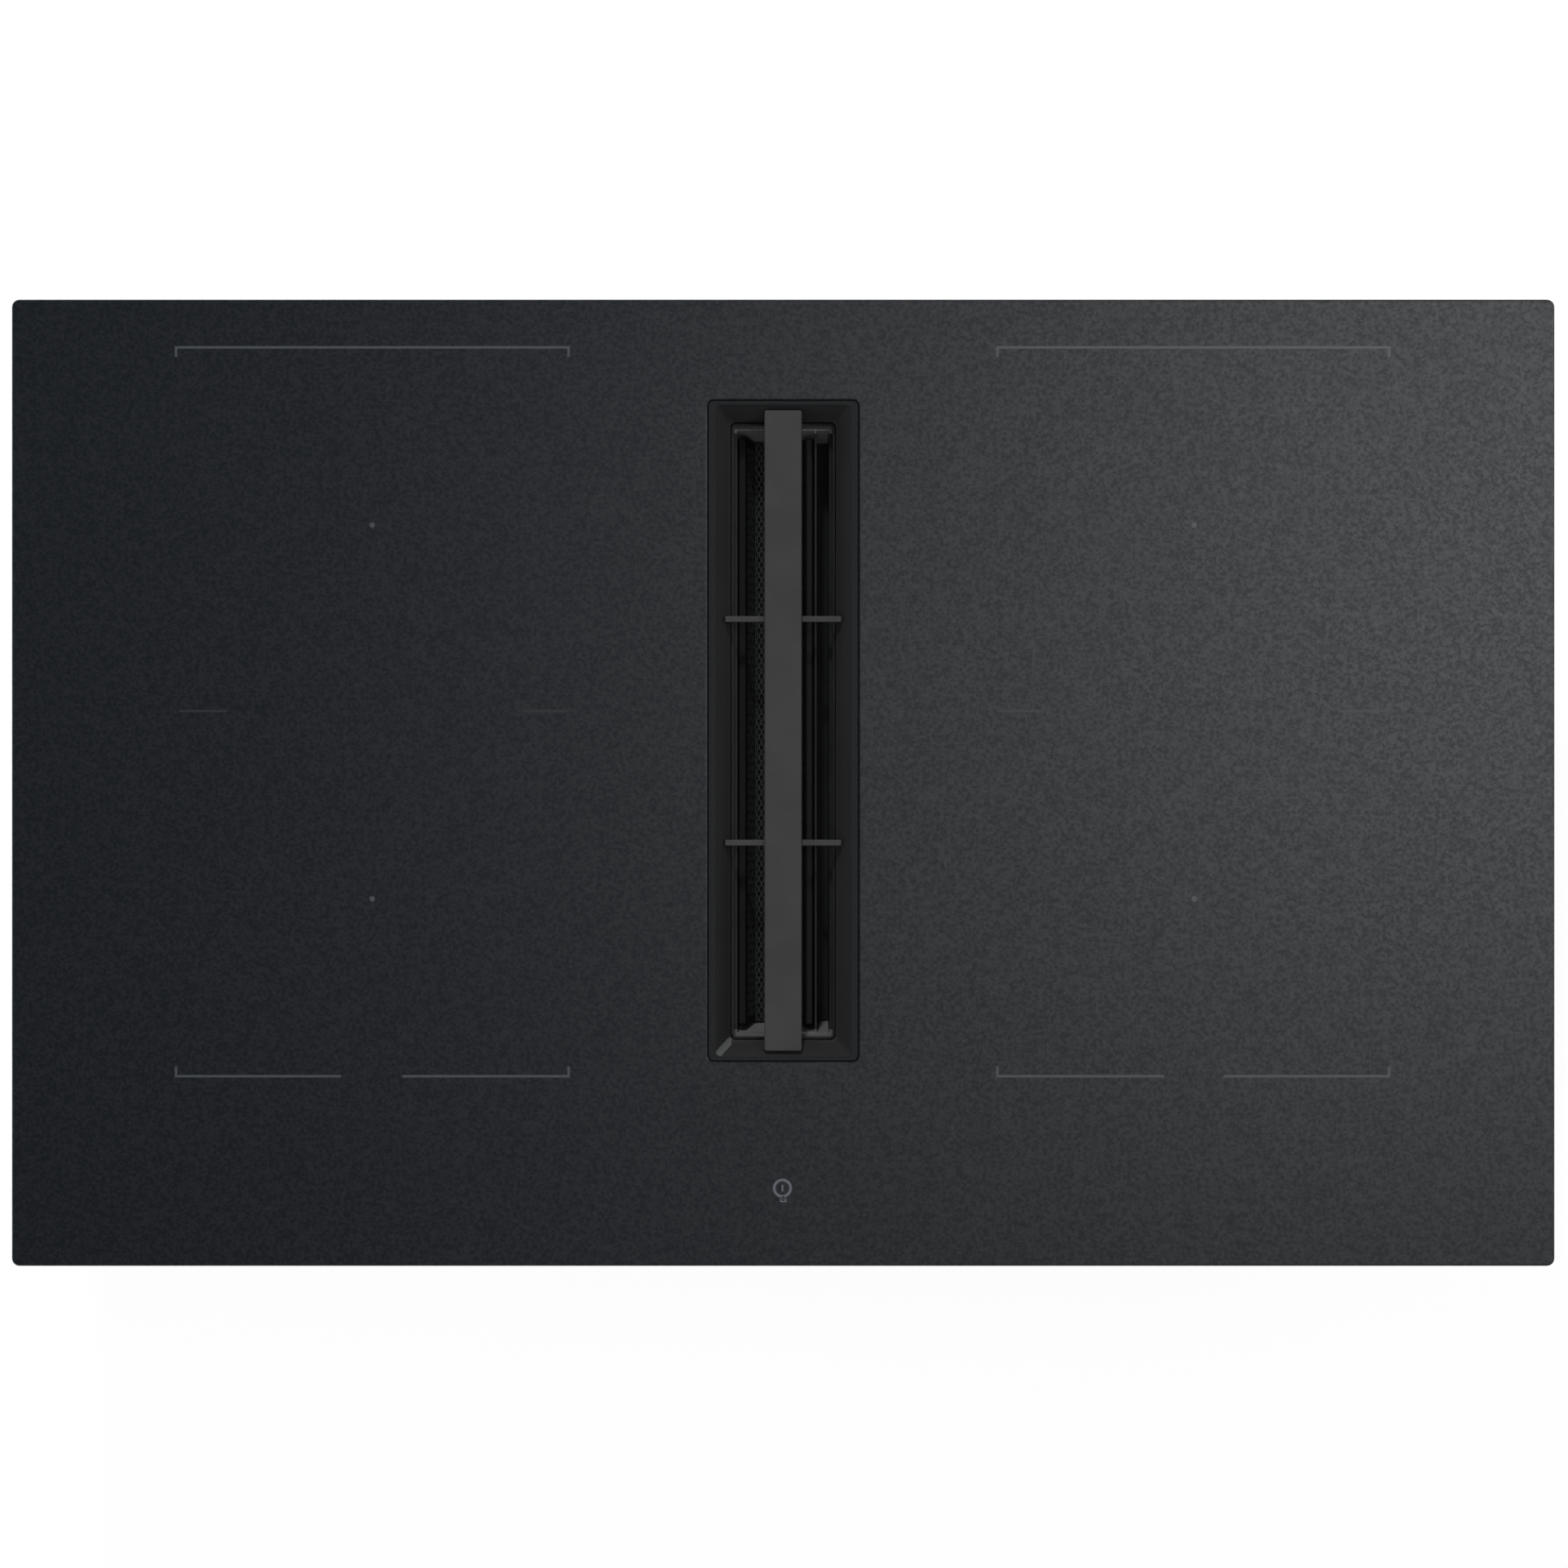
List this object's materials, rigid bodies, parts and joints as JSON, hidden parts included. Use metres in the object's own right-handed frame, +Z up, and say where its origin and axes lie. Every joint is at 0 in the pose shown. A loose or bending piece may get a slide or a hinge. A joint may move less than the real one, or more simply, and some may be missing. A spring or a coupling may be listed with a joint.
{
  "type": "downdraft induction cooktop",
  "caption": "Black glass induction hob with a central lengthwise air inlet, lift-out grille and filter, and a casing with a centrifugal extractor below.",
  "frame": {"origin": "below the middle of the glass plate, on the plane that the extractor casing stands on", "axes": "+X to the cook's right, +Y to the back, +Z up out of the glass"},
  "size_m": [0.83, 0.52, 0.21],
  "materials": {
    "ceramic_glass": "black glass-ceramic, satin, with a fine speckle",
    "grille_paint": "matte dark grey paint on metal",
    "vent_plastic": "matte black moulding",
    "casing_plastic": "fine-grained black moulding",
    "grey_plastic": "grey moulding",
    "seal_rubber": "soft black foam seal",
    "zinc_steel": "zinc-coated sheet steel",
    "bright_aluminium": "rolled aluminium",
    "filter_metal": "dark washable grease filter metal",
    "coil_wire": "enamelled copper stranded wire",
    "ferrite": "dark ferrite in a plastic former",
    "circuit_board": "green circuit board",
    "wheel_plastic": "grey moulded blower wheel"
  },
  "bodies": {
    "hob": {"glass_plate": "ceramic_glass", "worktop_seal": "seal_rubber", "vent_gasket": "seal_rubber", "glass_frame": "zinc_steel", "base_pan": "zinc_steel", "air_well": "zinc_steel", "bearing_lower": "zinc_steel", "bearing_upper": "zinc_steel", "clamp_screw_front_left": "zinc_steel", "clamp_screw_rear_left": "zinc_steel", "clamp_screw_front_right": "zinc_steel", "clamp_screw_rear_right": "zinc_steel", "vent_frame": "vent_plastic", "coil_carrier_left": "bright_aluminium", "coil_carrier_right": "bright_aluminium", "heat_sink_left": "bright_aluminium", "heat_sink_right": "bright_aluminium", "motor_stator": "bright_aluminium", "coil_rear_left": "coil_wire", "coil_front_left": "coil_wire", "coil_rear_right": "coil_wire", "coil_front_right": "coil_wire", "coil_former_rear_left": "ferrite", "coil_former_front_left": "ferrite", "coil_former_rear_right": "ferrite", "coil_former_front_right": "ferrite", "power_board_left": "circuit_board", "power_board_right": "circuit_board", "mains_filter_board": "circuit_board", "touch_board": "circuit_board", "fan_housing_left": "casing_plastic", "fan_housing_right": "casing_plastic", "cable_gland": "casing_plastic", "scroll_housing": "casing_plastic", "scroll_cover": "casing_plastic", "extractor_tray": "casing_plastic", "outlet_spigot": "casing_plastic", "touch_carrier": "grey_plastic", "terminal_block": "grey_plastic", "inlet_ring": "grey_plastic"},
    "filter_cassette": {"cassette_frame": "filter_metal", "filter_mesh_left": "filter_metal", "filter_mesh_right": "filter_metal", "drip_trough": "filter_metal"},
    "grille": {"grille_bar": "grille_paint", "grille_rod_front": "grille_paint", "grille_rod_rear": "grille_paint"},
    "blower_rotor": {"blower_wheel": "wheel_plastic", "motor_rotor": "zinc_steel", "blower_shaft": "zinc_steel"},
    "cooling_fan_left": {"fan_rotor_left": "casing_plastic"},
    "cooling_fan_right": {"fan_rotor_right": "casing_plastic"},
    "upper_flap": {"backdraft_flap_upper": "grey_plastic"},
    "lower_flap": {"backdraft_flap_lower": "grey_plastic"},
    "terminal_lid": {"terminal_cover": "zinc_steel"},
    "drawer": {"overflow_drawer": "grey_plastic"},
    "clamp_arm_front_left": {"clamp_front_left": "zinc_steel"},
    "clamp_arm_rear_left": {"clamp_rear_left": "zinc_steel"},
    "clamp_arm_front_right": {"clamp_front_right": "zinc_steel"},
    "clamp_arm_rear_right": {"clamp_rear_right": "zinc_steel"}
  },
  "joints": [
    {"name": "filter_lift", "type": "slide", "parent": "hob", "child": "filter_cassette", "axis": [0, 0, 1], "range_m": [0, 0.2]},
    {"name": "grille_lift", "type": "slide", "parent": "filter_cassette", "child": "grille", "axis": [0, 0, 1], "range_m": [0, 0.12]},
    {"name": "blower_spin", "type": "hinge", "parent": "hob", "child": "blower_rotor", "pos_m": [0.1893, 0.02, 0.098], "axis": [0, 0, 1], "continuous": true},
    {"name": "fan_spin_left", "type": "hinge", "parent": "hob", "child": "cooling_fan_left", "pos_m": [-0.3333, -0.1883, 0.164], "axis": [0, 0, 1], "continuous": true},
    {"name": "fan_spin_right", "type": "hinge", "parent": "hob", "child": "cooling_fan_right", "pos_m": [0.3333, -0.1883, 0.164], "axis": [0, 0, 1], "continuous": true},
    {"name": "upper_flap_swing", "type": "hinge", "parent": "hob", "child": "upper_flap", "pos_m": [0.2433, 0.215, 0.1362], "axis": [1, 0, 0], "range_deg": [0, 75]},
    {"name": "lower_flap_swing", "type": "hinge", "parent": "hob", "child": "lower_flap", "pos_m": [0.2433, 0.215, 0.0937], "axis": [1, 0, 0], "range_deg": [0, 75]},
    {"name": "terminal_lid_swing", "type": "hinge", "parent": "hob", "child": "terminal_lid", "pos_m": [0.357, 0.2406, 0.1842], "axis": [1, 0, 0], "range_deg": [0, 95]},
    {"name": "drawer_slide", "type": "slide", "parent": "hob", "child": "drawer", "axis": [0, -1, 0], "range_m": [0, 0.16]},
    {"name": "clamp_turn_front_left", "type": "hinge", "parent": "hob", "child": "clamp_arm_front_left", "pos_m": [-0.391, -0.15, 0.1555], "axis": [0, 0, -1], "range_deg": [0, 90]},
    {"name": "clamp_turn_rear_left", "type": "hinge", "parent": "hob", "child": "clamp_arm_rear_left", "pos_m": [-0.391, 0.15, 0.1555], "axis": [0, 0, -1], "range_deg": [0, 90]},
    {"name": "clamp_turn_front_right", "type": "hinge", "parent": "hob", "child": "clamp_arm_front_right", "pos_m": [0.391, -0.15, 0.1555], "axis": [0, 0, 1], "range_deg": [0, 90]},
    {"name": "clamp_turn_rear_right", "type": "hinge", "parent": "hob", "child": "clamp_arm_rear_right", "pos_m": [0.391, 0.15, 0.1555], "axis": [0, 0, 1], "range_deg": [0, 90]}
  ]
}
